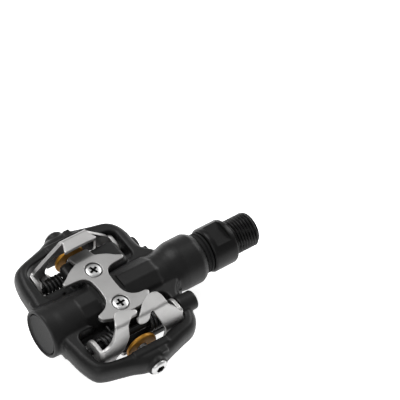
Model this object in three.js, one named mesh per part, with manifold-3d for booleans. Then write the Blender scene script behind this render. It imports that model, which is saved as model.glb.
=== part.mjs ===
// Double-sided clipless pedal for a left crank: a cast cage and barrel on a spindle, with a sprung
// cleat claw, a cleat plate and a tension adjuster for each face. Millimetres, +Z up.
// +X runs along the spindle to the crank, +Y forward. Half a turn about X maps one face on the other.
import * as THREE from "three";
import { mergeVertices } from "three/addons/utils/BufferGeometryUtils.js";
import Module from "manifold-3d";

const wasm = await Module();
wasm.setup();

// Driving dimensions. X is measured from the middle of the cleat plates.
const SIDES = 32;
const CAP_FACE = -29.5;
const SPINDLE_END = 69;
const SHOULDER = 57.5;
const PLATE_TOP = 10.4;
const PLATE_THICK = 2;
const SCREW_HALF_SPACING = 9;

const BARREL = { capEnd: 10, middle: 9.2, neck: 8.8, bell: 10.35, mouth: 8.6, end: 43 };
const CAGE = { halfHeight: 5, sideHalf: 2.8, edgeShare: 0.955, outboard: -26.4, inboard: 25.4, apex: 34.8 };
const WINDOW = { halfWidth: 20.3, nearAxis: 9.6, corner: 25.4, apex: 28.6 };
const SEAT = { halfLength: 14, halfWidth: 5.2, flatHalfWidth: 6.3 };
const PIN = { reach: 18.5, height: 3.6, radius: 1.4, from: -22.6, to: 27.6 };
const BOSS = { radius: 3.9, from: 21.8, to: 27.9 };
const CLAW = { inner: 22.9, outer: 24.5, sheet: 1.6, armOuter: 19.2, top: 17, lip: 15.7 };
const SPRING = { wire: 0.7, radius: 3.2, pitch: 1.66, turns: 5, from: 6.3, barrelEnd: 10.2, wallEnd: 22.3 };
const ADJUSTER = { radius: 2, headRadius: 3.5, headFrom: 34.9, headTo: 36.9, inner: 21.5, socket: 1.75 };
const NUT = { radius: 6.5, hole: 2.2, from: 23.4, to: 25 };
const SPINDLE = {
  thread: 7.14, flange: 9.15, flats: 15, flatsFrom: 48.8, flatsTo: 55.4,
  journal: 6, shank: 4.6, seat: 3.5, tail: 3,
};
const BEARING = { from: -19.6, to: -14.6, outer: 7, outerBore: 6.1, innerRim: 4.3 };
const BALLS = { count: 7, radius: 1.15, pitchRadius: 5.2, track: 1.28 };
const BORE = { main: 6.6, bushing: 7.5, bushingFrom: 27.5 };
const BUSHING = { from: 27.8, to: 42.7, outer: 7.38 };
const SEAL = { from: 43.3, to: 46.3, outer: 8.3 };
const WASHER = { from: -20.6, to: -19.8, outer: 4.6 };
const LOCK_NUT = { from: -24.4, to: -20.8, outer: 5.2 };
const CAP = { pocket: 8.5, radius: 8.2, depth: 2.2, recess: 0.4 };
const PLATE_SCREW = { head: 3.15, shank: 1.9, bottom: 4.6, cross: 3.4, crossWidth: 0.9 };
const GAP = 0.12;

const middle = (CAP_FACE + SPINDLE_END) / 2;
const plateBottom = PLATE_TOP - PLATE_THICK;

// Finishes
const blackPaint = new THREE.MeshStandardMaterial({ color: 0x242426, roughness: 0.45, metalness: 0.1 });
const blackSteel = new THREE.MeshStandardMaterial({ color: 0x141416, roughness: 0.4, metalness: 0.7 });
const satinSteel = new THREE.MeshStandardMaterial({ color: 0xa5a3a3, roughness: 0.45, metalness: 0.9 });
const brightSteel = new THREE.MeshStandardMaterial({ color: 0xc8c6c6, roughness: 0.25, metalness: 1 });
const yellowBrass = new THREE.MeshStandardMaterial({ color: 0x9a6a18, roughness: 0.35, metalness: 0.9 });
const blackRubber = new THREE.MeshStandardMaterial({ color: 0x101010, roughness: 0.8, metalness: 0 });
const bushPlastic = new THREE.MeshStandardMaterial({ color: 0x2c3034, roughness: 0.6, metalness: 0 });

// A closed geometry as a solid for joining and cutting.
function solid(geometry, matrix = new THREE.Matrix4()) {
  const bare = geometry.clone().applyMatrix4(matrix);
  bare.deleteAttribute("normal");
  bare.deleteAttribute("uv");
  const merged = mergeVertices(bare, 1e-4);
  const corners = merged.index.array;
  const kept = [];
  for (let i = 0; i < corners.length; i += 3) {
    const [a, b, c] = corners.slice(i, i + 3);
    if (a !== b && b !== c && c !== a) kept.push(a, b, c);
  }
  return new wasm.Manifold(
    new wasm.Mesh({
      numProp: 3,
      vertProperties: merged.attributes.position.array,
      triVerts: new Uint32Array(kept),
    }),
  );
}

function geometryOf(shape) {
  const mesh = shape.getMesh();
  const positions = new Float32Array(mesh.numVert * 3);
  for (let i = 0; i < mesh.numVert; i++) {
    positions.set(mesh.vertProperties.subarray(i * mesh.numProp, i * mesh.numProp + 3), i * 3);
  }
  const geometry = new THREE.BufferGeometry();
  geometry.setAttribute("position", new THREE.BufferAttribute(positions, 3));
  geometry.setIndex(new THREE.BufferAttribute(new Uint32Array(mesh.triVerts), 1));
  geometry.computeVertexNormals();
  return geometry;
}

// A turned solid about X from [x, radius] points, closed on the axis at both ends.
function turned(points, sides = SIDES) {
  const profile = [[points[0][0], 0], ...points, [points[points.length - 1][0], 0]];
  const lathe = new THREE.LatheGeometry(profile.map(([x, r]) => new THREE.Vector2(r, x)), sides);
  return solid(lathe, new THREE.Matrix4().makeRotationZ(-Math.PI / 2));
}

// A ring about X between two X stations.
function ring(from, to, outer, inner, sides = SIDES) {
  const cut = turned([[from - 1, inner], [to + 1, inner]], sides);
  return turned([[from, outer], [to, outer]], sides).subtract(cut);
}

function rod(radius, from, to, sides = SIDES) {
  return turned([[from, radius], [to, radius]], sides);
}

// Puts a solid made along X on an axis along Y, with its X = 0 plane at Y = 0 and +X facing +Y.
function alongY(shape) {
  return shape.rotate([0, 0, 90]);
}

// Puts a solid made along X on the Z axis, with its X = 0 plane at Z = 0 and +X facing up.
function alongZ(shape) {
  return shape.rotate([0, -90, 0]);
}

function block(x0, x1, y0, y1, z0, z1) {
  const box = new THREE.BoxGeometry(x1 - x0, y1 - y0, z1 - z0);
  box.translate((x0 + x1) / 2, (y0 + y1) / 2, (z0 + z1) / 2);
  return solid(box);
}

function shapeOf(points) {
  return new THREE.Shape(points.map(([x, y]) => new THREE.Vector2(x, y)));
}

// A plate with an outline in the XY plane between two heights.
function plateXY(points, low, high) {
  const geometry = new THREE.ExtrudeGeometry(shapeOf(points), { depth: high - low, bevelEnabled: false });
  return solid(geometry, new THREE.Matrix4().makeTranslation(0, 0, low));
}

// A plate with an outline in the XZ plane between two Y stations.
function plateXZ(points, from, to) {
  const geometry = new THREE.ExtrudeGeometry(shapeOf(points), { depth: to - from, bevelEnabled: false });
  const turn = new THREE.Matrix4().makeRotationX(Math.PI / 2);
  return solid(geometry, turn.premultiply(new THREE.Matrix4().makeTranslation(0, to, 0)));
}

// A plate with an outline in the YZ plane between two X stations.
function plateYZ(points, from, to) {
  const geometry = new THREE.ExtrudeGeometry(shapeOf(points), { depth: to - from, bevelEnabled: false });
  const turn = new THREE.Matrix4().makeBasis(
    new THREE.Vector3(0, 1, 0),
    new THREE.Vector3(0, 0, 1),
    new THREE.Vector3(1, 0, 0),
  );
  return solid(geometry, turn.premultiply(new THREE.Matrix4().makeTranslation(from, 0, 0)));
}

// A closed solid through one outline, given anticlockwise, at several [height, scale] levels.
function lofted(outline, levels) {
  const count = outline.length;
  const positions = levels.flatMap(([z, scale]) => outline.flatMap(([x, y]) => [x * scale, y * scale, z]));
  const corners = [];
  for (let level = 0; level + 1 < levels.length; level++) {
    for (let i = 0; i < count; i++) {
      const a = level * count + i;
      const b = level * count + ((i + 1) % count);
      corners.push(a, b, a + count, b, b + count, a + count);
    }
  }
  const lid = THREE.ShapeUtils.triangulateShape(outline.map(([x, y]) => new THREE.Vector2(x, y)), []);
  const last = (levels.length - 1) * count;
  for (const [a, b, c] of lid) {
    corners.push(a, c, b);
    corners.push(last + a, last + b, last + c);
  }
  const geometry = new THREE.BufferGeometry();
  geometry.setAttribute("position", new THREE.Float32BufferAttribute(positions, 3));
  geometry.setIndex(corners);
  return solid(geometry);
}

const mirrorX = (points) => points.map(([x, y]) => [-x, y]).reverse();
const joined = (shapes) => shapes.reduce((sum, shape) => sum.add(shape));
const cutBy = (shape, cutters) => cutters.reduce((left, cutter) => left.subtract(cutter), shape);

// --- Casting: cage loops, barrel, plate seats and pin bosses ---

// The forward half of the cage's outline, from the barrel's cap end round the loop to the neck.
function cageOutline() {
  const { outboard, inboard, apex } = CAGE;
  const loop = [
    [-25.7, 20.5], [-23.7, 26.9], [-20.2, 29.4], [-13.4, 31.4], [-8.8, 32.7], [-4.6, 34.4],
    [0, apex], [4.6, 34.5], [8.8, 33.2], [14.9, 31.4], [20.8, 29.6], [24, 26.2],
  ];
  const shape = new THREE.Shape();
  shape.moveTo(-27.2, 0);
  shape.lineTo(-27.2, 9.4);
  shape.quadraticCurveTo(outboard - 0.2, 10.4, outboard, 14);
  shape.splineThru(loop.map(([x, y]) => new THREE.Vector2(x, y)));
  shape.quadraticCurveTo(inboard, 22.4, inboard, 18);
  shape.bezierCurveTo(inboard, 12.4, 26, 9.4, 29.6, 8.6);
  shape.lineTo(29.6, 0);
  return shape.getPoints(3);
}

function windowOutline() {
  const shape = new THREE.Shape();
  const { halfWidth, nearAxis, corner, apex } = WINDOW;
  shape.moveTo(-halfWidth + 2, nearAxis);
  shape.lineTo(halfWidth - 2, nearAxis);
  shape.quadraticCurveTo(halfWidth, nearAxis, halfWidth, nearAxis + 2);
  shape.lineTo(halfWidth, corner - 2);
  shape.quadraticCurveTo(halfWidth, corner + 1.6, halfWidth - 4, corner + 2.2);
  shape.quadraticCurveTo(6, apex, 0, apex);
  shape.quadraticCurveTo(-6, apex, -halfWidth + 4, corner + 2.2);
  shape.quadraticCurveTo(-halfWidth, corner + 1.6, -halfWidth, corner - 2);
  shape.lineTo(-halfWidth, nearAxis + 2);
  shape.quadraticCurveTo(-halfWidth, nearAxis, -halfWidth + 2, nearAxis);
  return shape.getPoints(5);
}

// Both loops as one solid, from the lower face to the upper one, with their outer edges chamfered.
function cage() {
  const { halfHeight, sideHalf, edgeShare } = CAGE;
  const half = cageOutline().map((p) => [p.x, p.y]);
  const other = half.slice(1, -1).map(([x, y]) => [x, -y]).reverse();
  const loops = lofted([...half, ...other].reverse(), [
    [-halfHeight, edgeShare], [-sideHalf, 1], [sideHalf, 1], [halfHeight, edgeShare],
  ]);
  const opening = windowOutline().slice(0, -1).map((p) => [p.x, p.y]);
  const across = opening.map(([x, y]) => [x, -y]).reverse();
  const over = halfHeight + 1;
  return cutBy(loops, [opening, across].map((outline) => plateXY(outline, -over, over)));
}

function barrel() {
  const { capEnd, middle: waist, neck, bell, mouth, end } = BARREL;
  return turned([
    [CAP_FACE, capEnd - 0.6],
    [CAP_FACE + 0.6, capEnd],
    [-25, capEnd],
    [-22.5, waist],
    [20, waist],
    [26, neck],
    [33, bell],
    [40.4, bell],
    [end, mouth],
  ]);
}

// Height of the cast seats under the cleat plates.
const seatHeight = plateBottom - GAP;

// The flat seat under both cleat plates, with the metal round their screw holes.
function plateSeat() {
  const { halfLength, halfWidth } = SEAT;
  return block(-halfWidth, halfWidth, -halfLength, halfLength, -seatHeight, seatHeight);
}

// What is milled off the barrel above the seats.
function seatCuts() {
  const over = BARREL.bell + 1;
  const width = SEAT.flatHalfWidth;
  const cut = block(-width, width, -over, over, seatHeight, over);
  return [cut, turnedOver(cut)];
}

function pinBoss(side) {
  const boss = rod(BOSS.radius, BOSS.from, BOSS.to, 24);
  return boss.translate([0, side * PIN.reach, -side * PIN.height]);
}

// Stations of the pedal body's bore along the spindle.
function bore() {
  const seat = BEARING.outer + 0.08;
  return turned([
    [CAP_FACE - 1, CAP.pocket],
    [CAP_FACE + CAP.depth, CAP.pocket],
    [CAP_FACE + CAP.depth, seat],
    [BEARING.to + 0.1, seat],
    [BEARING.to + 0.1, BORE.main],
    [BORE.bushingFrom, BORE.main],
    [BORE.bushingFrom, BORE.bushing],
    [BARREL.end + 1, BORE.bushing],
  ]);
}

function pedalBody() {
  const bosses = [-1, 1].map(pinBoss);
  const pinHole = rod(PIN.radius + GAP, PIN.from - 0.3, BOSS.to + 1, 20);
  const pinHoles = [-1, 1].map((side) => pinHole.translate([0, side * PIN.reach, -side * PIN.height]));
  const adjusterHole = alongY(rod(ADJUSTER.radius + 0.25, WINDOW.apex - 3, CAGE.apex + 3, 20));
  const screwHole = alongZ(rod(PLATE_SCREW.shank + 0.2, PLATE_SCREW.bottom - 0.5, PLATE_TOP, 20));
  const screwHoles = screwPlaces().map((y) => screwHole.translate([0, y, 0]));
  const casting = joined([cage(), barrel(), plateSeat(), ...bosses]);
  return cutBy(casting, [
    ...seatCuts(),
    bore(),
    ...pinHoles,
    adjusterHole,
    turnedOver(adjusterHole),
    ...screwHoles,
    ...screwHoles.map(turnedOver),
  ]);
}

// Half a turn about X: takes a piece of the upper face to its place on the lower face.
function turnedOver(shape) {
  return shape.rotate([180, 0, 0]);
}

function screwPlaces() {
  return [-SCREW_HALF_SPACING, SCREW_HALF_SPACING];
}

// --- Spindle and what turns or seals on it ---

function spindle() {
  const { thread, flange, flats, flatsFrom, flatsTo, journal, shank, seat, tail } = SPINDLE;
  const turnedBar = turned([
    [-25.6, tail - 0.6],
    [-25, tail],
    [-19.7, tail],
    [-19.7, seat],
    [-14.3, seat],
    [-14.3, shank],
    [2, shank],
    [24, journal],
    [46.6, journal],
    [46.6, flange - 1],
    [47.6, flange],
    [SHOULDER - 0.8, flange],
    [SHOULDER, flange - 0.8],
    [SHOULDER, thread],
    [SPINDLE_END - 1, thread],
    [SPINDLE_END, thread - 1.2],
  ]);
  const over = flange + 1;
  const wrenchFlats = [-1, 1].map((side) => {
    const cut = block(flatsFrom, flatsTo, -over, over, flats / 2, over);
    return side > 0 ? cut : turnedOver(cut);
  });
  return cutBy(turnedBar, wrenchFlats);
}

function bearingTrack() {
  const torus = new THREE.TorusGeometry(BALLS.pitchRadius, BALLS.track, 12, SIDES);
  torus.rotateY(Math.PI / 2);
  torus.translate((BEARING.from + BEARING.to) / 2, 0, 0);
  return solid(torus);
}

function bearingRing(outer, inner) {
  return ring(BEARING.from, BEARING.to, outer, inner).subtract(bearingTrack());
}

function bearingBall(index) {
  const angle = (2 * Math.PI * index) / BALLS.count;
  const { from, to } = BEARING;
  const { radius, pitchRadius } = BALLS;
  const ball = new THREE.SphereGeometry(radius, 10, 6);
  ball.translate((from + to) / 2, pitchRadius * Math.cos(angle), pitchRadius * Math.sin(angle));
  return solid(ball);
}

// A ring that clears a bar of the given radius inside it.
function sleeve({ from, to, outer }, bar) {
  return ring(from, to, outer, bar + GAP);
}

function lockNut() {
  const { from, to, outer } = LOCK_NUT;
  return rod(outer, from, to, 6).subtract(rod(SPINDLE.tail + GAP, from - 1, to + 1));
}

function endCap() {
  const disc = rod(CAP.radius, CAP_FACE + CAP.recess, CAP_FACE + CAP.depth - 0.1);
  const skirt = ring(CAP_FACE + CAP.depth - 0.5, -25.1, BEARING.outer - 0.1, BEARING.outer - 1.1);
  return disc.add(skirt);
}

// --- Cleat plate, its screws, the claw and its springs, all for the upper face ---

// The I-shaped plate, forward end first, as [x, distance behind the middle].
function plateOutline() {
  return [
    [-4.4, -14.6], [-6, -14], [-9, -12.7], [-11.6, -10.6], [-14.2, -9.2], [-13.8, -7.9], [-7.6, -7.8],
    [-5.2, -7], [-4, -5], [-3.6, 0], [-4, 4.6], [-5, 6.6], [-6.6, 8.2], [-8.6, 9.1], [-10.8, 9.8],
    [-11.4, 11], [-10.6, 12.4], [-8, 13.4], [-6, 14.2], [6, 14.2], [9, 12.6], [11.8, 11.4], [12.4, 9.8],
    [11.6, 9], [8.8, 8.9], [6.6, 8], [4.8, 6.4], [3.8, 4.2], [3.6, 0], [3.9, -4.6], [5, -6.8], [7.4, -7.8],
    [13.2, -8], [14, -9.2], [11.4, -10.6], [9, -12.7], [6, -14.2], [4.4, -14.7],
  ].reverse();
}

function cleatPlate() {
  const outline = plateOutline().map(([x, back]) => [x, -back]).reverse();
  const flat = plateXY(outline, plateBottom, PLATE_TOP);
  const tongue = plateYZ(
    [[13, plateBottom], [15.4, 8.1], [19, 6.9], [19.3, 8.2], [16.2, 9.9], [13, PLATE_TOP]],
    -4.4,
    4.1,
  );
  const sink = turned([
    [plateBottom - 1, PLATE_SCREW.shank + 0.3],
    [plateBottom + 0.2, PLATE_SCREW.shank + 0.3],
    [PLATE_TOP - 0.5, PLATE_SCREW.head + 0.3],
    [PLATE_TOP + 1, PLATE_SCREW.head + 0.3],
  ], 28);
  const sinks = screwPlaces().map((y) => alongZ(sink).translate([0, y, 0]));
  return cutBy(flat.add(tongue), sinks);
}

function plateScrew(y) {
  const { head, shank, bottom, cross, crossWidth } = PLATE_SCREW;
  const body = alongZ(turned([
    [bottom, shank - 0.4],
    [bottom + 0.5, shank],
    [plateBottom + 0.4, shank],
    [PLATE_TOP - 0.5, head],
    [PLATE_TOP - 0.2, head - 0.2],
  ], 28));
  const half = crossWidth / 2;
  const slot = block(-cross / 2, cross / 2, -half, half, PLATE_TOP - 1.5, PLATE_TOP + 1);
  return cutBy(body, [slot, slot.rotate([0, 0, 90])]).translate([0, y, 0]);
}

// The claw is one folded sheet. Its shapes are drawn with Y outwards from the spindle.
function clawWall() {
  const { inner, outer, sheet, armOuter, top, lip } = CLAW;
  const side = armOuter - sheet;
  const wall = plateXZ([
    [-5.5, -lip], [5.5, -lip], [side, -3], [side, 8.3], [14, 15.5], [12, top],
    [-11.6, top], [-14, 15.5], [-side, 8.3], [-side, -3],
  ], inner, outer);
  const slot = plateXZ([
    [-6.9, -6.8], [-6, -7.6], [9.2, -7.6], [10.8, -6.4], [11.5, 0], [3.8, top + 1], [-6.9, top + 1],
  ], inner - 1, outer + 1);
  return wall.subtract(slot);
}

function clawFingers() {
  const { outer, sheet, top } = CLAW;
  const left = [
    [-11.6, outer], [-11.4, 22.4], [-9.6, 18.8], [-8.8, 16.2], [-7.7, 15.3], [-6.2, 15.6], [-3.5, 17],
    [-0.5, 18.3], [-0.2, 19.1], [-1.2, 20.6], [-3.7, 20.5], [-5.4, 21], [-6.4, 22.2], [-6.9, outer],
  ];
  const right = [
    [12, outer], [11.8, 21.9], [12, 18.5], [11.3, 15.7], [9.8, 15], [7.8, 15], [5.7, 15.8], [3.2, 17.2],
    [1.3, 19], [-0.5, 21.1], [-2.2, 23.2], [-1.4, 24.1], [0.6, 24.1], [4, 22.7], [4.4, outer],
  ];
  return joined([left, right.reverse()].map((points) => plateXY(points, top - sheet, top)));
}

function clawLip() {
  const { outer, sheet, lip } = CLAW;
  const outline = [[-5.5, outer], [-7.8, 17.8], [-3, 18.2], [3, 18.2], [7.6, 17.8], [5.5, outer]];
  return plateXY(outline, -lip, sheet - lip);
}

function clawArm(side) {
  const { armOuter, sheet, outer } = CLAW;
  const from = side > 0 ? armOuter - sheet : -armOuter;
  const outline = [
    [14.9, 2.4], [16, 0], [18.8, -2.6], [outer - 1.5, -3], [outer - 1.5, 8.3], [outer - 3, 8.6],
    [17.6, 8.6], [15.6, 7.4], [14.8, 5],
  ];
  const arm = plateYZ(outline, from, from + sheet);
  return arm.subtract(pinLine(rod(PIN.radius + GAP, -25, 25, 20)));
}

// The corner that joins an arm to the wall.
function clawCorner(side) {
  const { inner, outer, armOuter, sheet } = CLAW;
  const near = armOuter - sheet;
  const outline = [
    [near, inner - 2.2], [armOuter, inner - 2.2], [armOuter, outer - 1.6], [armOuter - 1.7, outer],
    [near - 1.4, outer], [near - 1.4, inner], [near, inner],
  ];
  return plateXY(side > 0 ? outline : mirrorX(outline), -3, 8.3);
}

function pinLine(shape) {
  return shape.translate([0, PIN.reach, PIN.height]);
}

function claw() {
  const sides = [-1, 1];
  return joined([clawWall(), clawFingers(), clawLip(), ...sides.map(clawArm), ...sides.map(clawCorner)]);
}

function clawPin() {
  return pinLine(rod(PIN.radius, PIN.from, PIN.to, 20));
}

// A torsion spring round the pin: one leg on the barrel, five close turns, one leg on the claw's wall.
function torsionSpring(side) {
  const { wire, radius, pitch, turns, from, barrelEnd, wallEnd } = SPRING;
  const points = [new THREE.Vector3(side * from, barrelEnd - PIN.reach, -radius)];
  const perTurn = 8;
  for (let i = 0; i <= turns * perTurn; i++) {
    const angle = (2 * Math.PI * i) / perTurn - Math.PI / 2;
    const x = side * (from + (pitch * i) / perTurn);
    points.push(new THREE.Vector3(x, radius * Math.cos(angle), radius * Math.sin(angle)));
  }
  points.push(new THREE.Vector3(side * (from + pitch * turns), wallEnd - PIN.reach, -radius));
  const section = new THREE.Shape();
  section.absarc(0, 0, wire, 0, 2 * Math.PI);
  const path = new THREE.CatmullRomCurve3(points, false, "centripetal");
  const geometry = new THREE.ExtrudeGeometry(section, { steps: 50, curveSegments: 3, extrudePath: path });
  return pinLine(solid(geometry));
}

function tensionScrew() {
  const { radius, headRadius, headFrom, headTo, inner, socket } = ADJUSTER;
  const bar = turned([
    [inner, radius - 0.4],
    [inner + 0.5, radius],
    [headFrom, radius],
    [headFrom, headRadius],
    [headTo - 0.4, headRadius],
    [headTo, headRadius - 0.4],
  ], 28);
  return alongY(bar.subtract(rod(socket, headTo - 1.7, headTo + 1, 6)));
}

function tensionNut() {
  return alongY(ring(NUT.from, NUT.to, NUT.radius, NUT.hole, 36));
}

// A piece drawn outwards along +Y, taken to the rear of the pedal.
function atRear(shape) {
  return shape.scale([1, -1, 1]);
}

// --- The assembly ---

const pedal = new THREE.Group();
pedal.position.x = -middle;

function add(name, shape, material) {
  const mesh = new THREE.Mesh(geometryOf(shape), material);
  mesh.name = name;
  pedal.add(mesh);
}

// Adds a piece of the upper face, and its copy turned over onto the lower face.
function addPair(upperName, lowerName, shape, material) {
  add(upperName, shape, material);
  add(lowerName, turnedOver(shape), material);
}

add("pedal_body", pedalBody(), blackPaint);
add("end_cap", endCap(), blackPaint);
add("spindle", spindle(), blackSteel);
add("spindle_seal", sleeve(SEAL, SPINDLE.journal), blackRubber);
add("spindle_bushing", sleeve(BUSHING, SPINDLE.journal), bushPlastic);
add("bearing_outer_ring", bearingRing(BEARING.outer, BEARING.outerBore), satinSteel);
add("bearing_inner_ring", bearingRing(BEARING.innerRim, SPINDLE.seat + GAP), satinSteel);
for (let i = 0; i < BALLS.count; i++) add("bearing_ball_" + (i + 1), bearingBall(i), brightSteel);
add("spindle_washer", sleeve(WASHER, SPINDLE.tail), satinSteel);
add("spindle_lock_nut", lockNut(), satinSteel);

addPair("upper_cleat_plate", "lower_cleat_plate", cleatPlate(), satinSteel);
screwPlaces().forEach((y, i) => {
  const place = ["rear", "front"];
  addPair("upper_plate_screw_" + place[i], "lower_plate_screw_" + place[1 - i], plateScrew(y), brightSteel);
});
addPair("rear_claw", "front_claw", atRear(claw()), brightSteel);
addPair("rear_claw_pin", "front_claw_pin", atRear(clawPin()), blackSteel);
for (const [side, word] of [[-1, "outboard"], [1, "inboard"]]) {
  addPair("rear_spring_" + word, "front_spring_" + word, atRear(torsionSpring(side)), blackSteel);
}
addPair("rear_tension_screw", "front_tension_screw", atRear(tensionScrew()), brightSteel);
addPair("rear_tension_nut", "front_tension_nut", atRear(tensionNut()), yellowBrass);

export default pedal;
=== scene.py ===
"""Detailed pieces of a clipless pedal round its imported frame.

Shapes are drawn in millimetres, with X from the middle of the cleat plates, +Z up and, for what each
end of the pedal repeats, Y outwards from the spindle. place() puts them in the row frame in metres.
"""

import math

import bmesh
import bpy
from mathutils import Matrix, Vector


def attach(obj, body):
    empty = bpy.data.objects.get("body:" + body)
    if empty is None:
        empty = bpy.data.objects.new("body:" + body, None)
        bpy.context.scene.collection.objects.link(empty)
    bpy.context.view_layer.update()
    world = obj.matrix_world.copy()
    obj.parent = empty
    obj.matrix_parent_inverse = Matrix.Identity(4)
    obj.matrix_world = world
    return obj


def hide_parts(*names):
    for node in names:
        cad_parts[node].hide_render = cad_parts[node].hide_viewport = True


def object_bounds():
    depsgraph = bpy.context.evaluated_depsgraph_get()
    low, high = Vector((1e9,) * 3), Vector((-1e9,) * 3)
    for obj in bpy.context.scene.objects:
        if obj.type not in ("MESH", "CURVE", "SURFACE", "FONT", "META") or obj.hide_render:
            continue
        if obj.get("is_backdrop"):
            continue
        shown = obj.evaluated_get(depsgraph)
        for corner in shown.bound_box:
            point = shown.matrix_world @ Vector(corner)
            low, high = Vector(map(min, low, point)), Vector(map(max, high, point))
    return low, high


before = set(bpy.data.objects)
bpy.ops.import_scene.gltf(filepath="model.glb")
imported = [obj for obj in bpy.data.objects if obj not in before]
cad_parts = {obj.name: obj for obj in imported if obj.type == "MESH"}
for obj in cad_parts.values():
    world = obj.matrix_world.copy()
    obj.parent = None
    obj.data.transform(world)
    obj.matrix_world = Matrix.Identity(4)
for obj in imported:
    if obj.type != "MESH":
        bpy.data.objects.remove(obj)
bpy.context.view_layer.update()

MM = 0.001
MIDDLE = 19.75  # from the plates' middle to the middle of the overall length

# Casting
CAP_FACE = -29.5
BARREL_END = 43.0
SEAT_HEIGHT = 8.28
FACETS = 12  # round the middle of the barrel
FACET_RADIUS = 9.5
VOXEL = 0.36  # cell of the remesh that unites the casting's parts
EASE_STEPS = 4  # smoothing passes after it
LOOP_STATIONS = 150  # sections round each end's loop
LOOP_FROM = -28  # degrees from +X, inside the neck
LOOP_SWEEP = 236

# Sprung parts of one end
PIN_REACH = 18.5
PIN_HEIGHT = 3.6
PIN_RADIUS = 1.4
PIN_HOLE = 1.52
WALL_OUTER = 24.5
SHEET = 1.6
CLAW_TOP = 17.0
CLAW_LIP = -15.7
CLAW_SIDE = 19.2
FOLD = 2.1  # outer radius of the fold to the lip
SIDE_FOLD = 1.75  # outer radius of the folds to the arms
SPRING_WIRE = 0.7  # radius of the wire
SPRING_RADIUS = 3.2  # to the wire's middle
SPRING_PITCH = 1.66
SPRING_TURNS = 5
SPRING_START = 6.3  # where the coils start, out from the middle
SCREW_PITCH = 0.8
HEAD_SEAT = 34.85  # where the cage's end is counterbored for the tension screw's head

# Plates and screws
PLATE_TOP = 10.4
PLATE_BOTTOM = 8.4
SCREW_Y = 9.0
SCREW_HEAD = 3.15
PLATE_HOLE = 2.1
TONGUE_ROOT = 14.2  # where the plate's tongue starts to bend down
TONGUE_SLOPE = 0.36
TONGUE_EASE = 1.2  # how gently it starts

# Spindle
SHOULDER = 57.5
SPINDLE_END = 69.0
THREAD_RADIUS = 7.14
THREAD_PITCH = 1.27


# --- Shapes as bmesh solids, in millimetres ---


def quads(bm, first, second):
    """Faces between two rings of the same number of vertices."""
    count = len(first)
    for i in range(count):
        j = (i + 1) % count
        bm.faces.new((first[i], first[j], second[j], second[i]))


def finished(bm):
    """The solid with every face turned outwards."""
    bmesh.ops.remove_doubles(bm, verts=bm.verts, dist=1e-5)
    bmesh.ops.recalc_face_normals(bm, faces=bm.faces)
    return bm


def turned(profile, sides=96, ring=False):
    """A solid of revolution about X from (x, radius) points. A ring's profile is a closed loop."""
    bm = bmesh.new()
    loops = []
    for x, radius in profile:
        angles = [2 * math.pi * i / sides for i in range(sides)]
        loops.append([bm.verts.new((x, radius * math.cos(a), radius * math.sin(a))) for a in angles])
    for first, second in zip(loops, loops[1:]):
        quads(bm, first, second)
    if ring:
        quads(bm, loops[-1], loops[0])
    else:
        bm.faces.new(loops[0])
        bm.faces.new(loops[-1])
    return finished(bm)


def eased(low, high, outer, inner, edge=0.25):
    """The closed profile of a ring between two X stations, with eased outer edges."""
    return [
        (low, inner), (low, outer - edge), (low + edge * 0.3, outer - edge * 0.3), (low + edge, outer),
        (high - edge, outer), (high - edge * 0.3, outer - edge * 0.3), (high, outer - edge), (high, inner),
    ]


def box(low, high):
    bm = bmesh.new()
    bmesh.ops.create_cube(bm, size=1)
    size = Vector(high) - Vector(low)
    middle = (Vector(high) + Vector(low)) / 2
    bm.transform(Matrix.Translation(middle) @ Matrix.Diagonal((*size, 1)))
    return bm


def tube(path, radius, sides=14):
    """A round wire along a path, with flat ends."""
    bm = bmesh.new()
    points = [Vector(p) for p in path]
    side = None
    loops = []
    for i, point in enumerate(points):
        ahead = (points[min(i + 1, len(points) - 1)] - points[max(i - 1, 0)]).normalized()
        if side is None:
            side = ahead.orthogonal().normalized()
        side = (side - ahead * side.dot(ahead)).normalized()
        other = ahead.cross(side)
        angles = [2 * math.pi * k / sides for k in range(sides)]
        spokes = [side * math.cos(a) + other * math.sin(a) for a in angles]
        loops.append([bm.verts.new(point + radius * spoke) for spoke in spokes])
    for first, second in zip(loops, loops[1:]):
        quads(bm, first, second)
    bm.faces.new(loops[0])
    bm.faces.new(loops[-1])
    return finished(bm)


def spline(points, steps):
    """A smooth open curve through points (Catmull-Rom)."""
    last = len(points) - 1
    found = []
    for i in range(last):
        a, b, c, d = (Vector(points[min(max(i + k, 0), last)]) for k in (-1, 0, 1, 2))
        for s in range(steps):
            t = s / steps
            found.append(
                b
                + (c - a) * (t / 2)
                + (2 * a - 5 * b + 4 * c - d) * (t * t / 2)
                + (3 * b - a - 3 * c + d) * (t * t * t / 2)
            )
    found.append(Vector(points[-1]))
    return found


def rounded(points, radius, steps=4):
    """A closed outline with each corner rounded, as far as its edges allow."""
    found = []
    count = len(points)
    for i in range(count):
        before, here, after = (Vector(points[(i + k) % count]) for k in (-1, 0, 1))
        back, ahead = before - here, after - here
        reach = min(radius, 0.45 * back.length, 0.45 * ahead.length)
        start, end = here + back.normalized() * reach, here + ahead.normalized() * reach
        for s in range(steps + 1):
            t = s / steps
            found.append(start * (1 - t) ** 2 + here * (2 * t * (1 - t)) + end * t**2)
    return found


def anticlockwise(outline):
    points = [Vector(p) for p in outline]
    area = sum(a.x * b.y - b.x * a.y for a, b in zip(points, points[1:] + points[:1]))
    return points if area > 0 else points[::-1]


def inset(outline, distance):
    """An anticlockwise outline moved inwards, with mitred corners."""
    count = len(outline)
    found = []
    for i in range(count):
        before, here, after = (outline[(i + k) % count] for k in (-1, 0, 1))
        first, second = (here - before).normalized(), (after - here).normalized()
        across = Vector((-first.y - second.y, first.x + second.x))
        size = max(across.length, 0.1)
        found.append(here + across * (distance * min(2.0, 2 / (size * size))))
    return found


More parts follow.
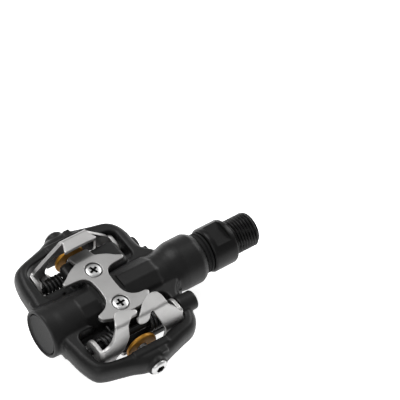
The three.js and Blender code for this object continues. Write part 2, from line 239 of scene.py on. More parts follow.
def stacked(outline, levels):
    """A solid through one outline at (height, inset) levels from the bottom up."""
    bm = bmesh.new()
    base = anticlockwise(outline)
    loops = [[bm.verts.new((p.x, p.y, z)) for p in inset(base, depth)] for z, depth in levels]
    for first, second in zip(loops, loops[1:]):
        quads(bm, first, second)
    bm.faces.new(loops[0][::-1])
    bm.faces.new(loops[-1])
    return bm


def plate(outline, low, high, edge=0.25):
    """A flat plate in XY with rounded-over edges."""
    return stacked(outline, [
        (low, edge), (low + edge * 0.3, edge * 0.3), (low + edge, 0),
        (high - edge, 0), (high - edge * 0.3, edge * 0.3), (high, edge),
    ])


def helix_thread(low, high, radius, pitch, depth, hand=1, sides=48):
    """A turned bar with a real V thread, run out at both ends. hand is -1 for a left-hand thread."""
    bm = bmesh.new()
    steps = max(8, int((high - low) / pitch * 8))
    loops = []
    for s in range(steps + 1):
        x = low + (high - low) * s / steps
        fade = min(1.0, (x - low) / (0.8 * pitch))
        end_taper = max(0.0, 1.0 - (high - x) / 0.9) * 0.7
        ring = []
        for i in range(sides):
            a = 2 * math.pi * i / sides
            phase = (x / pitch + hand * i / sides) % 1.0
            groove = (1 - abs(2 * phase - 1)) ** 1.3 * depth * fade
            r = radius - groove - end_taper
            ring.append(bm.verts.new((x, r * math.cos(a), r * math.sin(a))))
        loops.append(ring)
    for first, second in zip(loops, loops[1:]):
        quads(bm, first, second)
    bm.faces.new(loops[0])
    bm.faces.new(loops[-1])
    return finished(bm)


def sliced(bm, planes):
    """Triangulates the big faces and adds an edge loop along each (point, normal) plane."""
    bm.normal_update()
    bmesh.ops.triangulate(bm, faces=[f for f in bm.faces if len(f.verts) > 4])
    for point, normal in planes:
        everything = list(bm.verts) + list(bm.edges) + list(bm.faces)
        bmesh.ops.bisect_plane(bm, geom=everything, dist=1e-5, plane_co=point, plane_no=normal)
    return bm


def merged(*solids):
    """Several solids in one bmesh, as separate shells."""
    whole = bmesh.new()
    for bm in solids:
        mesh = bpy.data.meshes.new("part")
        bm.to_mesh(mesh)
        whole.from_mesh(mesh)
        bpy.data.meshes.remove(mesh)
    return whole


def held(bm, name="work"):
    """A bmesh as an object in the scene, still in millimetres."""
    mesh = bpy.data.meshes.new(name)
    bm.to_mesh(mesh)
    thing = bpy.data.objects.new(name, mesh)
    bpy.context.scene.collection.objects.link(thing)
    return thing


def applied(thing):
    """Puts an object's modifiers into its mesh."""
    graph = bpy.context.evaluated_depsgraph_get()
    mesh = bpy.data.meshes.new_from_object(thing.evaluated_get(graph))
    thing.modifiers.clear()
    old = thing.data
    thing.data = mesh
    bpy.data.meshes.remove(old)


def cut(thing, cutters, operation="DIFFERENCE"):
    """Takes solids away from an object, one after another."""
    for bm in cutters:
        tool = held(bm, "tool")
        step = thing.modifiers.new("cut", "BOOLEAN")
        step.operation = operation
        step.solver = "EXACT"
        step.object = tool
        applied(thing)
        mesh = tool.data
        bpy.data.objects.remove(tool)
        bpy.data.meshes.remove(mesh)
    return thing


def joined(first, second, name):
    """Two objects as one, as separate shells."""
    whole = bmesh.new()
    for thing in (first, second):
        whole.from_mesh(thing.data)
        bpy.data.objects.remove(thing)
    return held(whole, name)


def turned_over(bm):
    """A copy of a solid turned half a turn about X, from the upper face to the lower one."""
    other = bm.copy()
    other.transform(Matrix.Rotation(math.pi, 4, "X"))
    return other


def rotated(bm, degrees, axis, at=(0, 0, 0)):
    bm.transform(Matrix.Translation(at) @ Matrix.Rotation(math.radians(degrees), 4, axis))
    return bm


# --- Materials ---


def material(name, colour, roughness, metallic=0.0, specular=0.5):
    made = bpy.data.materials.new(name)
    made.use_nodes = True
    shader = made.node_tree.nodes["Principled BSDF"]
    shader.inputs["Metallic"].default_value = metallic
    shader.inputs["Specular IOR Level"].default_value = specular
    shader.inputs["Base Color"].default_value = (*colour, 1)
    shader.inputs["Roughness"].default_value = roughness
    return made, made.node_tree, shader


def mottled(tree, scale, stretch=(1, 1, 1), detail=4.0):
    """A noise pattern in the piece's own space. scale is in patches per metre."""
    place_node = tree.nodes.new("ShaderNodeTexCoord")
    mapping = tree.nodes.new("ShaderNodeMapping")
    mapping.inputs["Scale"].default_value = stretch
    noise = tree.nodes.new("ShaderNodeTexNoise")
    noise.inputs["Scale"].default_value = scale
    noise.inputs["Detail"].default_value = detail
    tree.links.new(place_node.outputs["Object"], mapping.inputs["Vector"])
    tree.links.new(mapping.outputs["Vector"], noise.inputs["Vector"])
    return noise.outputs["Fac"]


def vary_colour(tree, shader, pattern, dark, light):
    ramp = tree.nodes.new("ShaderNodeValToRGB")
    ramp.color_ramp.elements[0].position = 0.3
    ramp.color_ramp.elements[0].color = (*dark, 1)
    ramp.color_ramp.elements[1].position = 0.7
    ramp.color_ramp.elements[1].color = (*light, 1)
    tree.links.new(pattern, ramp.inputs["Fac"])
    tree.links.new(ramp.outputs["Color"], shader.inputs["Base Color"])


def vary_roughness(tree, shader, pattern, low, high):
    spread = tree.nodes.new("ShaderNodeMapRange")
    spread.inputs["From Min"].default_value = 0.3
    spread.inputs["From Max"].default_value = 0.7
    spread.inputs["To Min"].default_value = low
    spread.inputs["To Max"].default_value = high
    tree.links.new(pattern, spread.inputs["Value"])
    tree.links.new(spread.outputs["Result"], shader.inputs["Roughness"])


def add_bump(tree, shader, pattern, strength, depth_mm):
    bump = tree.nodes.new("ShaderNodeBump")
    bump.inputs["Strength"].default_value = strength
    bump.inputs["Distance"].default_value = depth_mm * MM
    tree.links.new(pattern, bump.inputs["Height"])
    tree.links.new(bump.outputs["Normal"], shader.inputs["Normal"])


def grained(name, dark, light, rough, metallic, specular, patches, grain, depth_mm, stretch=(1, 1, 1)):
    """A finish with broad patches of colour and roughness, and a fine grain in its surface."""
    middle = [(a + b) / 2 for a, b in zip(dark, light)]
    made, tree, shader = material(name, middle, sum(rough) / 2, metallic, specular)
    broad = mottled(tree, patches)
    fine = mottled(tree, grain, stretch, 2.0)
    vary_colour(tree, shader, broad, dark, light)
    vary_roughness(tree, shader, fine, *rough)
    add_bump(tree, shader, fine, 0.35, depth_mm)
    return made


def grey(value, warmth=0.0):
    return (value * (1 + warmth), value, value * (1 - warmth))


def painted(name, dark, light, rough, specular, patches, grain, depth_mm, stretch=(1, 1, 1)):
    return grained(name, grey(dark), grey(light), rough, 0, specular, patches, grain, depth_mm, stretch)


def bare_metal(name, dark, light, rough, patches, grain, depth_mm, warmth=0.0):
    colours = (grey(dark, warmth), grey(light, warmth))
    return grained(name, *colours, rough, 1, 0.5, patches, grain, depth_mm)


casting_paint = painted("casting_paint", 0.004, 0.0075, (0.36, 0.48), 0.2, 60, 1600, 0.03)
cap_plastic = painted("cap_plastic", 0.004, 0.006, (0.42, 0.5), 0.1, 90, 2200, 0.02)
spindle_steel = painted("spindle_steel", 0.002, 0.0035, (0.3, 0.42), 0.17, 120, 2600, 0.01, (8, 1, 1))
spring_black = painted("spring_black", 0.005, 0.009, (0.3, 0.42), 0.3, 300, 3000, 0.01)
seal_rubber = painted("seal_rubber", 0.004, 0.006, (0.65, 0.8), 0.15, 150, 2600, 0.02)
bush_plastic = painted("bush_plastic", 0.025, 0.035, (0.5, 0.6), 0.4, 150, 2600, 0.01)
# Near-black painted shade for the insides of screw recesses, standing in for the shadow that falls there.
painted_recess_shade = grained(
    "painted_recess_shade", grey(0.004), grey(0.008), (0.5, 0.6), 0.2, 0.3, 300, 3000, 0.01,
)
plate_satin = bare_metal("plate_satin", 0.26, 0.31, (0.4, 0.5), 90, 3000, 0.012, 0.01)
claw_satin = bare_metal("claw_satin", 0.34, 0.40, (0.4, 0.5), 110, 2400, 0.012, 0.01)
screw_bright = bare_metal("screw_bright", 0.44, 0.52, (0.28, 0.38), 200, 3000, 0.008)
ground_steel = bare_metal("ground_steel", 0.45, 0.52, (0.25, 0.35), 200, 3200, 0.008)
brass_gold = grained(
    "brass_gold", (0.31, 0.14, 0.012), (0.4, 0.19, 0.02), (0.36, 0.46), 0.6, 0.5, 150, 2600, 0.01,
)


# --- Placing ---


def place(thing, name, body, nodes, finish, smooth=45):
    """Names a piece, takes it into the row frame, shades it, ties it to its body and hides the CAD nodes it
    stands for.
    """
    thing.name = thing.data.name = name
    thing.data.transform(Matrix.Translation((-MIDDLE * MM, 0, 0)) @ Matrix.Scale(MM, 4))
    thing.data.materials.append(finish)
    # Second slot: the near-black painted recess shade, given to recess faces later.
    thing.data.materials.append(painted_recess_shade)
    thing.data.shade_smooth()
    thing.data.set_sharp_from_angle(angle=math.radians(smooth))
    weigh = thing.modifiers.new("weigh", "WEIGHTED_NORMAL")
    weigh.keep_sharp = True
    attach(thing, body)
    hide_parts(*nodes)
    return thing


def paint_recess_shade(thing, inside):
    """Gives the faces whose centre is inside a recess the near-black painted shade that place() adds,
    standing in for the shadow in the recess.
    """
    for face in thing.data.polygons:
        face.material_index = 1 if inside(face.center) else 0
    return thing


def both_ends(source, name, bodies, finish, smooth=45):
    """Places a piece of one end at both ends, the front one half a turn about the spindle from the rear."""
    for end, flip in (("rear", (1, -1, 1)), ("front", (1, 1, -1))):
        mesh = source.data.copy()
        mesh.transform(Matrix.Diagonal((*flip, 1)))
        mesh.flip_normals()
        thing = bpy.data.objects.new(name, mesh)
        bpy.context.scene.collection.objects.link(thing)
        full = f"{end}_{name}"
        place(thing, full + "_looks", bodies[end], [full], finish, smooth)
    bpy.data.objects.remove(source)


PEDAL = {"rear": "pedal", "front": "pedal"}


def own_body(name):
    return {end: f"{end}_{name}" for end in ("rear", "front")}


# --- Casting ---

LOOP = [  # the cage's outer edge at its widest, from the cap end round the forward loop to the neck
    (-27.4, -3), (-27.3, 4), (-26.9, 9.6), (-26.4, 14), (-25.7, 20.5), (-23.7, 26.9), (-20.2, 29.4),
    (-13.4, 31.4), (-8.8, 32.7), (-4.6, 34.4), (0, 34.8), (4.6, 34.5), (8.8, 33.2), (14.9, 31.4),
    (20.8, 29.6), (24, 26.2), (25.4, 21.4), (25.4, 17), (26, 12.6), (28, 9.8), (29.8, 7.4), (30, -3),
]


WINDOW = [  # the forward window's corners, anticlockwise from the cap end
    (-20.3, 9.6), (20.3, 9.6), (20.3, 23.6), (17.4, 25.3), (11.4, 25.7), (7.3, 27.6), (-8.5, 27.6),
    (-17, 26.4), (-20.3, 24),
]
HUB = Vector((0, 16))  # the point inside a window that its loop is measured round


def crossing(outline, direction):
    """Where a ray from the hub last meets an outline."""
    far = HUB.copy()
    for a, b in zip(outline, outline[1:]):
        edge = b - a
        across = direction.x * edge.y - direction.y * edge.x
        if abs(across) < 1e-9:
            continue
        gap = a - HUB
        reach = (gap.x * edge.y - gap.y * edge.x) / across
        share = (gap.x * direction.y - gap.y * direction.x) / across
        if reach > 0 and -1e-6 <= share <= 1 + 1e-6 and reach > (far - HUB).length:
            far = HUB + direction * reach
    return far


def loop_section(inner, outer):
    """One section of the loop: an upright window wall, a nearly flat top, and a rounded outside."""
    across = (outer - inner).normalized()
    width = (outer - inner).length
    upper = [
        (0.0, 4.0), (0.15, 4.6), (0.6, 4.85), (max(1.2, width - 3.6), 4.95), (max(1.5, width - 3.1), 5.0),
        (width - 2.5, 4.95), (width - 1.5, 4.4), (width - 0.7, 3.5), (width - 0.2, 2.4), (width, 1.2),
    ]
    profile = upper + [(d, -z) for d, z in reversed(upper)]
    return [(*(inner + across * d), z) for d, z in profile]


def loop_solid(side):
    """The loop of one end, from inside the barrel's neck round to inside its cap end."""
    outer = spline(LOOP, 8)
    window = rounded(WINDOW, 3.4, 8)
    window.append(window[0])
    bm = bmesh.new()
    rings = []
    for i in range(LOOP_STATIONS + 1):
        angle = math.radians(LOOP_FROM + LOOP_SWEEP * i / LOOP_STATIONS)
        direction = Vector((math.cos(angle), math.sin(angle)))
        section = loop_section(crossing(window, direction), crossing(outer, direction))
        rings.append([bm.verts.new((x, side * y, z)) for x, y, z in section])
    for first, second in zip(rings, rings[1:]):
        quads(bm, first, second)
    bm.faces.new(rings[0])
    bm.faces.new(rings[-1])
    return finished(bm)


def casting():
    barrel = turned([
        (CAP_FACE, 9.5), (CAP_FACE + 0.5, 10), (-25.2, 10), (-22.5, 9.7), (-14.2, 9.6), (-13.4, 8.9),
        (19, 8.9), (23.5, 8.8), (26, 8.8), (28.5, 9.2), (31, 10), (33, 10.35), (40.2, 10.35), (41.8, 9.6),
        (BARREL_END, 8.6),
    ])
    facets = turned([(-15, FACET_RADIUS), (21, FACET_RADIUS), (24, 8.2)], FACETS)
    facets.transform(Matrix.Rotation(math.pi / FACETS, 4, "X"))
    seat = box((-5.2, -14, -SEAT_HEIGHT), (5.2, 14, SEAT_HEIGHT))
    bosses = []
    for side in (-1, 1):
        boss = turned([(20.5, 3.9), (27.4, 3.9), (27.9, 3.5)], 48)
        boss.transform(Matrix.Translation((0, side * PIN_REACH, -side * PIN_HEIGHT)))
        bosses.append(boss)
    webs = [box((-26.5, -12.5, -3.6), (-19.8, 12.5, 3.6)), box((19.8, -12.5, -3.6), (27.5, 12.5, 3.6))]
    shelf = plate(rounded([(-8.5, -20.3), (17, -20.3), (17, -8), (-8.5, -8)], 2.6), -6.2, -1.1, 1.5)
    ledge = box((-20, -12.5, -3.6), (20, -8, -0.7))
    webs += [shelf, turned_over(shelf), ledge, turned_over(ledge)]
    ends = []
    for side in (-1, 1):
        low, high = sorted((side * 31, side * 33.6))
        ends.append(box((2.6, low, -5.2), (5.6, high, 5.2)))
        low, high = sorted((side * 27.7, side * 30.6))
        ends.append(box((-7.5, low, -5.6), (8, high, 5.6)))
        collar = turned([(29, 4.7), (35, 4.25), (35.9, 3.95)], 48)
        ends.append(rotated(collar, 90 * side, "Z"))
    parts = [loop_solid(1), loop_solid(-1), barrel, facets, seat, *bosses, *webs, *ends]
    whole = held(merged(*parts), "casting")
    remesh = whole.modifiers.new("remesh", "REMESH")
    remesh.mode = "VOXEL"
    remesh.voxel_size = VOXEL
    ease = whole.modifiers.new("ease", "SMOOTH")
    ease.factor = 0.5
    ease.iterations = EASE_STEPS
    applied(whole)
    return machined(whole)


def machined(whole):
    """Cuts the bore, the seats and the holes in the casting."""
    tools = []
    seat_cut = box((-6.3, -11.5, SEAT_HEIGHT), (6.3, 11.5, 13))
    tools += [seat_cut, turned_over(seat_cut)]
    tools.append(turned([
        (CAP_FACE - 2, 8.9), (CAP_FACE + 0.25, 8.9), (CAP_FACE + 0.7, 8.5), (-27.3, 8.5), (-27.3, 7.08),
        (-14.5, 7.08), (-14.5, 6.6), (27.5, 6.6), (27.5, 7.5), (BARREL_END + 2, 7.5),
    ], 96))
    for side in (-1, 1):
        pin = turned([(-21.1, PIN_HOLE), (26.9, PIN_HOLE), (27.4, 2.4), (30, 2.4)], 32)
        pin.transform(Matrix.Translation((0, side * PIN_REACH, -side * PIN_HEIGHT)))
        tools.append(pin)
        adjuster = turned([(25, 2.25), (HEAD_SEAT, 2.25), (HEAD_SEAT, 3.75), (38, 3.75)], 48)
        tools.append(rotated(adjuster, 90 * side, "Z"))
    for y in (-SCREW_Y, SCREW_Y):
        for low, high in ((-10.5, -4.1), (4.1, 10.5)):
            hole = turned([(low, PLATE_HOLE), (high, PLATE_HOLE)], 32)
            tools.append(rotated(hole, 90, "Y", (0, y, 0)))
    return cut(whole, tools)


# --- Spindle and what sits on it ---


def spindle():
    bar = turned([
        (-25.6, 2.4), (-25, 3), (-19.7, 3), (-19.7, 3.5), (-14.3, 3.5), (-14.3, 4.6), (2, 4.6), (24, 6),
        (46.6, 6), (46.6, 8.4), (46.9, 8.8), (47.5, 9.15), (56.4, 9.15), (57.2, 8.8), (SHOULDER, 8.3),
        (SHOULDER, 6.3), (58.3, 6.1), (58.6, 6.1),
    ])
    thing = held(bar, "spindle")
    flats = [box((48.8, -11, 7.5), (55.4, 11, 12)), box((48.8, -11, -12), (55.4, 11, -7.5))]
    cut(thing, flats)
    thread = held(helix_thread(58.1, SPINDLE_END, THREAD_RADIUS, THREAD_PITCH, 0.72, -1))
    end = SPINDLE_END
    centre_drill = turned([(end - 2.4, 0.4), (end - 1.4, 0.8), (end + 0.4, 2.4)], 48)
    cut(thread, [centre_drill])
    return joined(thing, thread, "spindle")


def spindle_group():
    place(spindle(), "spindle_looks", "spindle", ["spindle"], spindle_steel, 35)
    seal = turned([
        (43.3, 6.1), (43.3, 8.1), (43.6, 8.3), (44.3, 8.3), (44.5, 7.9), (45, 7.9), (45.2, 8.3), (46, 8.3),
        (46.3, 8.0), (46.3, 6.1),
    ], 96, True)
    place(held(seal), "spindle_seal_looks", "pedal", ["spindle_seal"], seal_rubber)
    bush = turned(eased(27.8, 42.7, 7.38, 6.12), 96, True)
    place(held(bush), "spindle_bushing_looks", "pedal", ["spindle_bushing"], bush_plastic)
    washer = turned(eased(-20.6, -19.8, 4.6, 3.12, 0.15), 64, True)
    place(held(washer), "spindle_washer_looks", "spindle", ["spindle_washer"], ground_steel)
    nut = held(turned(eased(-24.4, -20.8, 5.1, 3.12), 64, True))
    hexagon = turned([(-25, 5.2), (-20, 5.2)], 6)
    cut(nut, [hexagon], "INTERSECT")
    place(nut, "spindle_lock_nut_looks", "spindle", ["spindle_lock_nut"], ground_steel)


def end_cap():
    face = CAP_FACE + 0.4
    return turned([
        (-25.1, 5.9), (-25.1, 6.9), (-27.4, 6.9), (-27.4, 8.2), (face + 0.3, 8.2), (face + 0.05, 8.05),
        (face, 7.85), (face, 7.5), (face + 0.12, 7.3), (face + 0.12, 0.02), (-27.0, 0.02), (-27.0, 5.9),
    ], 96, True)


# --- Claw: one folded sheet ---

FLAT_SIDE = CLAW_SIDE - SIDE_FOLD
SIDE_ARC = math.pi / 2 * SIDE_FOLD
FLAT_LIP = CLAW_LIP + FOLD
LIP_ARC = math.pi / 2 * FOLD

# The outer face of the claw above its middle, as (reach, height): upright, a soft bulge, a face
# that leans inwards, a crease, and the fold to the fingers.
RISE = [
    (24.5, 0), (24.55, 1.2), (24.8, 2.4), (24.95, 3.7), (24.85, 5.2), (24.4, 8), (23.75, 11.2),
    (23.1, 14.1), (22.75, 15.1), (22.62, 15.6), (22.45, 16.2), (22.0, 16.72), (21.4, 16.95),
    (20.8, CLAW_TOP),
]
STEPS = [0.0]
for near, far in zip(RISE, RISE[1:]):
    STEPS.append(STEPS[-1] + math.dist(near, far))


def risen(height):
    """Where a point of the wall at a height above the middle lies on the flat blank."""
    for (_, low), (_, high), start, end in zip(RISE, RISE[1:], STEPS, STEPS[1:]):
        if height <= high:
            return start + (end - start) * (height - low) / (high - low)
    return STEPS[-1]


def wall(x, height):
    return (x, risen(height) if height > 0 else height)


def finger(x, reach):
    return (x, STEPS[-1] + RISE[-1][0] - reach)


def lip(x, reach):
    return (x, FLAT_LIP - LIP_ARC - (WALL_OUTER - FOLD - reach))


def arm(side, reach, height):
    across = side * (FLAT_SIDE + SIDE_ARC + (WALL_OUTER - SIDE_FOLD - reach))
    return wall(across, height)


ARM = [
    (22.5, 8.5), (20.5, 8.7), (17.4, 8.5), (15.6, 7.2), (14.9, 5), (15, 2.2), (16.4, -0.2), (18.8, -2.6),
    (22, -3),
]
LEFT_FINGER = [
    (-11.5, 20.6), (-10.3, 19), (-9.1, 16.4), (-7.8, 15.3), (-6.3, 15.6), (-3.5, 17), (-0.5, 18.3),
    (-0.1, 19.3), (-1.2, 20.6), (-3.7, 20.4),
]
RIGHT_FINGER = [
    (1.6, 19.2), (3.4, 17.2), (5.8, 15.8), (7.8, 15), (9.8, 15), (11.3, 15.7), (12.1, 18.2), (12, 20.6),
]
LOBE = [  # the tab that hangs from the fold into the opening
    (5.2, 22.2), (4, 22.4), (3.6, 24.6), (2.6, 26.2), (0.2, 26.5), (-1.6, 25.6), (-2, 23.6), (-0.6, 21.2),
]


LEFT_SHOULDER = [(-17.4, 8.6), (-15.2, 9.4), (-13.4, 11.2), (-12.4, 13.6), (-11.8, 15.8)]
RIGHT_SHOULDER = [(11.9, 16.2), (15.3, 12.8), (17.4, 9.6)]
OPENING = [  # the hole in the wall, from under the left finger down and round to the tab
    (-5.6, 16.6), (-6.3, 15.4), (-6.1, 9.6), (-8.4, 5), (-10.6, 2.4), (-12.2, -1), (-11.6, -4.6),
    (-8.6, -7.6), (9.3, -7.6), (10.8, -6.3), (11.5, 0), (10.2, 5), (6, 14.2),
]
LIP = [(5.6, 22.4), (7.5, 17.9), (3, 18.2), (-3, 18.2), (-7.6, 17.9), (-5.4, 22.4)]


def claw_blank():
    """The claw's outline before folding, clockwise from the outboard arm's lower end."""
    points = [arm(-1, *p) for p in reversed(ARM)]
    points += [wall(*p) for p in LEFT_SHOULDER]
    points += [finger(*p) for p in LEFT_FINGER]
    points += [wall(*p) for p in OPENING]
    points += [finger(*p) for p in LOBE + RIGHT_FINGER]
    points += [wall(*p) for p in RIGHT_SHOULDER]
    points += [arm(1, *p) for p in ARM]
    points += [(17.4, -3), (16.6, -4.4), (6.2, FLAT_LIP - 0.2)]
    points += [lip(*p) for p in LIP]
    points += [(-6.2, FLAT_LIP - 0.2), (-16.6, -4.4), (-17.4, -3)]
    return rounded(points, 1.1, 3)


def up_the_wall(height, depth):
    """(reach, height) of a point at a blank height, at a depth under the outer face."""
    if height < FLAT_LIP:
        over = FLAT_LIP - height
        angle = min(over / FOLD, math.pi / 2)
        back = max(0.0, over - LIP_ARC)
        radius = FOLD - depth
        return WALL_OUTER - FOLD + radius * math.cos(angle) - back, FLAT_LIP - radius * math.sin(angle)
    if height <= 0:
        return WALL_OUTER - depth, height
    if height >= STEPS[-1]:
        return RISE[-1][0] - (height - STEPS[-1]), CLAW_TOP - depth
    k = max(i for i, start in enumerate(STEPS[:-1]) if height >= start - 1e-6)
    share = (height - STEPS[k]) / (STEPS[k + 1] - STEPS[k])
    here = Vector(RISE[k]).lerp(Vector(RISE[k + 1]), share)
    last = len(RISE) - 1
    before = Vector(RISE[max(k - 1, 0)]) if share < 0.5 else Vector(RISE[k])
    after = Vector(RISE[min(k + 1, last)]) if share < 0.5 else Vector(RISE[min(k + 2, last)])
    along = (after - before).normalized()
    return here.x - along.y * depth, here.y + along.x * depth


def claw_fold(x, height, depth):
    """Folds a point of the blank at some depth under its outer face."""
    over = abs(x) - FLAT_SIDE
    if over <= 0:
        return Vector((x, *up_the_wall(height, depth)))
    reach, up = up_the_wall(height, 0)
    angle = min(over / SIDE_FOLD, math.pi / 2)
    radius = SIDE_FOLD - depth
    back = max(0.0, over - SIDE_ARC)
    bulge = (reach - WALL_OUTER) * max(0.0, 1 - back / 4)
    across = FLAT_SIDE + radius * math.sin(angle)
    outwards = WALL_OUTER - SIDE_FOLD + radius * math.cos(angle) - back + bulge
    return Vector((math.copysign(across, x), outwards, up))


def claw():
    planes = [((0, height, 0), (0, 1, 0)) for height in STEPS]
    for k in range(7):
        planes.append(((0, FLAT_LIP - k / 6 * LIP_ARC, 0), (0, 1, 0)))
        for side in (-1, 1):
            planes.append(((side * (FLAT_SIDE + k / 6 * SIDE_ARC), 0, 0), (1, 0, 0)))
    bm = sliced(plate(claw_blank(), -SHEET, 0, 0.3), planes)
    for v in bm.verts:
        v.co = claw_fold(v.co.x, v.co.y, -v.co.z)
    bmesh.ops.recalc_face_normals(bm, faces=bm.faces)
    return held(bm, "claw")


def claw_pin():
    pin = turned([
        (-20.9, 0.9), (-20.6, 1.3), (-20.2, PIN_RADIUS), (26.4, PIN_RADIUS), (27.1, 1.3), (27.5, 0.8),
        (27.6, 0.3),
    ], 32)
    pin.transform(Matrix.Translation((0, PIN_REACH, PIN_HEIGHT)))
    return held(pin, "claw_pin")


def torsion_spring(side):
    """Close coils round the pin, one leg on the barrel and one on the claw's wall."""
    barrel_end, wall_end = 10.2, 22.3
    start = side * SPRING_START
    path = [Vector((start, barrel_end - PIN_REACH, -SPRING_RADIUS))]
    path.append(Vector((start, -2.2, -SPRING_RADIUS)))
    per_turn = 28
    for i in range(SPRING_TURNS * per_turn + 1):
        angle = 2 * math.pi * i / per_turn - math.pi / 2
        x = start + side * SPRING_PITCH * i / per_turn
        path.append(Vector((x, SPRING_RADIUS * math.cos(angle), SPRING_RADIUS * math.sin(angle))))
    last = start + side * SPRING_PITCH * SPRING_TURNS
    path.append(Vector((last, 2.2, -SPRING_RADIUS)))
    path.append(Vector((last, wall_end - PIN_REACH, -SPRING_RADIUS)))
    pin = Vector((0, PIN_REACH, PIN_HEIGHT))
    return held(tube([p + pin for p in path], SPRING_WIRE), "spring")


def tension_screw():
    """Socket screw along Y with a domed head."""
    shank = helix_thread(21.5, 35.2, 2.0, SCREW_PITCH, 0.28, 1, 32)
    head = turned([
        (34.9, 2.2), (34.9, 3.2), (35.2, 3.5), (35.9, 3.5), (36.45, 3.25), (36.8, 2.75), (36.9, 2.3),
    ], 64)
    thing = held(head, "head")
    socket = turned([(35.3, 0.9), (35.5, 1.72), (36.75, 1.72), (37.1, 2.05)], 6)
    cut(thing, [socket])
    # Painted shade in the head's hex socket.
    paint_recess_shade(thing, lambda c: c.x < 36.85 and math.hypot(c.y, c.z) < 1.9)
    whole = joined(thing, held(shank), "tension_screw")
    whole.data.transform(Matrix.Rotation(math.radians(90), 4, "Z"))
    return whole


def tension_nut():
    disc = turned([
        (23.4, 2.2), (23.4, 6.1), (23.55, 6.35), (23.8, 6.5), (24.6, 6.5), (24.85, 6.35), (25, 6.1),
        (25, 2.6), (24.7, 2.2),
    ], 96, True)
    return held(rotated(disc, 90, "Z"), "tension_nut")


# --- Cleat plate and its screws ---

PLATE_OUTBOARD = [  # half of the plate's edge, anticlockwise from the tongue's end, as (x, y)
    (-4.6, 19.9), (-4.5, 14.8), (-6.2, 14.1), (-9, 12.7), (-11.6, 10.7), (-14.1, 9.4), (-13.8, 8),
    (-7.8, 7.7), (-5.3, 6.9), (-4, 5), (-3.6, 0), (-4, -4.6), (-5, -6.6), (-6.6, -8.2), (-8.6, -9.1),
    (-10.9, -9.8), (-11.3, -11), (-10.4, -12.4), (-8, -13.4), (-6, -14.2),
]
PLATE_INBOARD = [  # the other half, on to the tongue's end
    (6, -14.2), (9, -12.7), (11.8, -11.6), (12.6, -9.8), (11.6, -8.9), (8.8, -8.8), (6.6, -8), (4.8, -6.4),
    (3.8, -4.2), (3.6, 0), (3.9, 4.6), (5, 6.7), (7.4, 7.7), (13.2, 7.9), (13.9, 9.3), (11.4, 10.6),
    (9, 12.7), (6.2, 14.1), (4.4, 14.8), (4.3, 19.9),
]


def cleat_plate():
    flat = plate(rounded(PLATE_OUTBOARD + PLATE_INBOARD, 1.2, 4), PLATE_BOTTOM, PLATE_TOP, 0.3)
    bm = sliced(flat, [((0, TONGUE_ROOT + 0.8 * k, 0), (0, 1, 0)) for k in range(7)])
    for v in bm.verts:
        if v.co.y > TONGUE_ROOT:
            past = v.co.y - TONGUE_ROOT
            v.co.z -= TONGUE_SLOPE * past * past / (past + TONGUE_EASE)
    bmesh.ops.recalc_face_normals(bm, faces=bm.faces)
    sinks = []
    for y in (-SCREW_Y, SCREW_Y):
        sink = turned([
            (PLATE_BOTTOM - 1, 2.2), (PLATE_BOTTOM + 0.2, 2.2), (PLATE_TOP - 0.9, 3.5),
            (PLATE_TOP - 0.25, 3.5), (PLATE_TOP + 0.3, 4.1),
        ], 64)
        sinks.append(rotated(sink, -90, "Y", (0, y, 0)))
    return cut(held(bm, "cleat_plate"), sinks)


def plate_screw():
    """Countersunk screw with a tapered cross recess, standing up from the origin."""
    top = PLATE_TOP - 0.2
    body = turned([
        (4.6, 1.5), (5.1, 1.9), (PLATE_BOTTOM + 0.3, 1.9), (PLATE_TOP - 0.85, 3.0),
        (PLATE_TOP - 0.55, SCREW_HEAD), (top - 0.15, 3.0), (top, 2.6), (top + 0.05, 1.4), (top + 0.06, 0.2),
    ], 64)
    thing = held(rotated(body, -90, "Y"), "screw")
    arms = []
    for turn in (0, 90):
        bm = box((-2.15, -0.5, top - 1.5), (2.15, 0.5, top + 1))
        for v in bm.verts:
            if v.co.z < top:
                v.co.x *= 0.6
        arms.append(rotated(bm, turn, "Z"))
    cut(thing, arms)
    # Painted shade in the cross recess.
    return paint_recess_shade(thing, lambda c: top - 1.6 < c.z < top - 0.05 and math.hypot(c.x, c.y) < 2.3)


def both_faces():
    """The plates and their screws, upper face and lower face."""
    plate_solid = cleat_plate()
    screw = plate_screw()
    for face, degrees in (("upper", 0), ("lower", 180)):
        over = Matrix.Rotation(math.radians(degrees), 4, "X")
        mesh = plate_solid.data.copy()
        mesh.transform(over)
        thing = bpy.data.objects.new("plate", mesh)
        bpy.context.scene.collection.objects.link(thing)
        node = face + "_cleat_plate"
        place(thing, node + "_looks", "pedal", [node], plate_satin)
        for y in (-SCREW_Y, SCREW_Y):
            mesh = screw.data.copy()
            spun = Matrix.Rotation(math.radians(12 + y), 4, "Z")
            mesh.transform(over @ Matrix.Translation((0, y, 0)) @ spun)
            thing = bpy.data.objects.new("screw", mesh)
            bpy.context.scene.collection.objects.link(thing)
            forward = y > 0 if face == "upper" else y < 0
            node = f"{face}_plate_screw_{'front' if forward else 'rear'}"
            place(thing, node + "_looks", "pedal", [node], screw_bright, 35)
    bpy.data.objects.remove(plate_solid)
    bpy.data.objects.remove(screw)


# --- The assembly ---

place(casting(), "pedal_body_looks", "pedal", ["pedal_body"], casting_paint, 40)
place(held(end_cap()), "end_cap_looks", "pedal", ["end_cap"], cap_plastic, 35)
spindle_group()
both_faces()
both_ends(claw(), "claw", own_body("claw"), claw_satin)
both_ends(claw_pin(), "claw_pin", PEDAL, spindle_steel)
both_ends(torsion_spring(-1), "spring_outboard", PEDAL, spring_black)
both_ends(torsion_spring(1), "spring_inboard", PEDAL, spring_black)
both_ends(tension_screw(), "tension_screw", own_body("tension_screw"), screw_bright, 35)
both_ends(tension_nut(), "tension_nut", own_body("tension_nut"), brass_gold)

# Bearing parts that stay as the frame has them, sealed in the barrel.
for name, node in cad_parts.items():
    if name.startswith("bearing_"):
        node.data.materials.clear()
        node.data.materials.append(ground_steel)


# --- Stage, light and camera ---


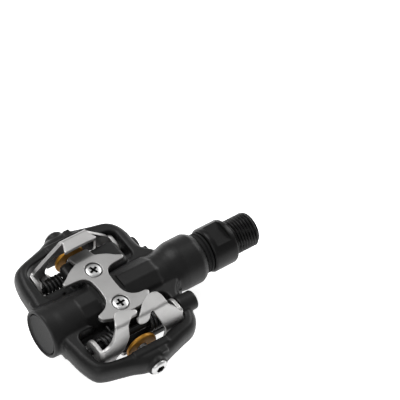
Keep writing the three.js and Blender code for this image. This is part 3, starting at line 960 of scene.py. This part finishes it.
def floor():
    bm = bmesh.new()
    bmesh.ops.create_grid(bm, x_segments=1, y_segments=1, size=3)
    mesh = bpy.data.meshes.new("floor")
    bm.to_mesh(mesh)
    thing = bpy.data.objects.new("floor", mesh)
    bpy.context.scene.collection.objects.link(thing)
    thing.location.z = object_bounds()[0].z
    made, tree, shader = material("pale_floor", (0.9, 0.9, 0.9), 0.9, 0, 0.1)
    shader.inputs["Emission Color"].default_value = (1, 1, 1, 1)
    shader.inputs["Emission Strength"].default_value = 0.75
    mesh.materials.append(made)
    thing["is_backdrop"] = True


def area_light(name, place_at, size, power):
    lamp = bpy.data.lights.new(name, "AREA")
    lamp.size = size
    lamp.energy = power
    thing = bpy.data.objects.new(name, lamp)
    thing.location = place_at
    thing.rotation_mode = "QUATERNION"
    thing.rotation_quaternion = (-Vector(place_at)).to_track_quat("-Z", "Y")
    bpy.context.scene.collection.objects.link(thing)


def camera():
    """Looks down at the outboard rear corner of the upper face, from about 1.15 m with a long lens."""
    eye = bpy.data.objects.new("camera", bpy.data.cameras.new("camera"))
    eye.data.lens = 270
    eye.data.sensor_width = 36
    eye.data.clip_start = 0.05
    eye.data.clip_end = 20
    right = Vector((0.8061, -0.5834, 0.0998))
    up = Vector((0.4061, 0.6678, 0.6238))
    back = Vector((-0.4305, -0.4623, 0.7752))
    turn = Matrix((right, up, back)).transposed()
    spot = Vector((-447.4 - MIDDLE, -523.9, 914.5)) * MM
    eye.matrix_world = Matrix.Translation(spot) @ turn.to_4x4()
    bpy.context.scene.collection.objects.link(eye)
    bpy.context.scene.camera = eye


floor()
area_light("key", (-0.25, 0.55, 0.9), 0.7, 9)
area_light("fill", (-0.8, -0.5, 0.6), 0.8, 3.4)
area_light("rim", (0.7, 0.2, 0.5), 0.5, 4)
world = bpy.data.worlds.new("studio")
world.use_nodes = True
world.node_tree.nodes["Background"].inputs["Color"].default_value = (1, 1, 1, 1)
world.node_tree.nodes["Background"].inputs["Strength"].default_value = 0.42
bpy.context.scene.world = world
bpy.context.scene.view_settings.view_transform = "Standard"
camera()

bpy.context.view_layer.update()
